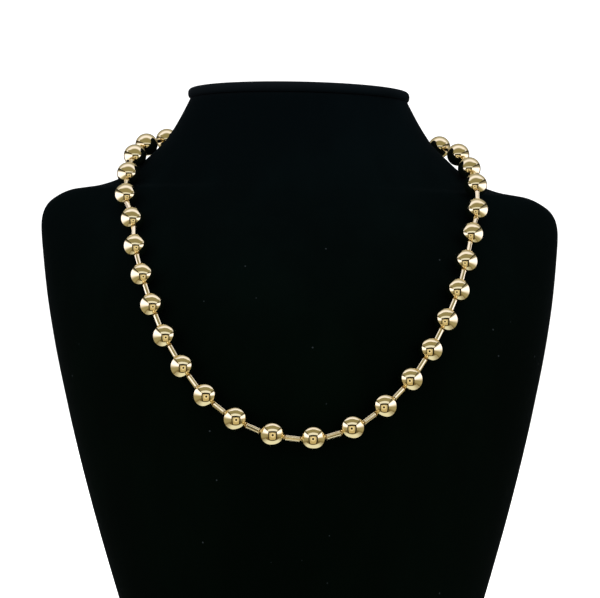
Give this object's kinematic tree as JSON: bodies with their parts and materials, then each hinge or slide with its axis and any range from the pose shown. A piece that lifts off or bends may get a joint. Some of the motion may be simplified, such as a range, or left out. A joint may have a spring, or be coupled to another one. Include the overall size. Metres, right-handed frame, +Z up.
{
  "type": "ball chain necklace on a neck bust",
  "caption": "Necklace of round polished balls and short barrel links in one closed loop, laid over a plain velvet neck bust that stands on its flat base.",
  "frame": {"origin": "middle of the bust's flat base, on the surface that it stands on", "axes": "+Z up from the base to the neck cap, -Y the way the chest faces, +X to the bust's left shoulder, which is on the right of the picture"},
  "size_m": [0.217, 0.1536, 0.2467],
  "materials": {
    "black_velvet": "matt pile",
    "polished_gold": "mirror polish, gold plated",
    "link_gold": "bright, gold plated"
  },
  "bodies": {
    "root": {"bust_form": "black_velvet", "neck_cap": "black_velvet", "bead_01": "polished_gold", "bead_02": "polished_gold", "bead_03": "polished_gold", "bead_04": "polished_gold", "bead_05": "polished_gold", "bead_06": "polished_gold", "bead_07": "polished_gold", "bead_08": "polished_gold", "bead_09": "polished_gold", "bead_10": "polished_gold", "bead_11": "polished_gold", "bead_12": "polished_gold", "bead_13": "polished_gold", "bead_14": "polished_gold", "bead_15": "polished_gold", "bead_16": "polished_gold", "bead_17": "polished_gold", "bead_18": "polished_gold", "bead_19": "polished_gold", "bead_20": "polished_gold", "bead_21": "polished_gold", "bead_22": "polished_gold", "bead_23": "polished_gold", "bead_24": "polished_gold", "bead_25": "polished_gold", "bead_26": "polished_gold", "bead_27": "polished_gold", "bead_28": "polished_gold", "bead_29": "polished_gold", "bead_30": "polished_gold", "bead_31": "polished_gold", "bead_32": "polished_gold", "bead_33": "polished_gold", "bead_34": "polished_gold", "bead_35": "polished_gold", "connector_links": "link_gold", "barrel_clasp": "link_gold"}
  },
  "joints": []
}
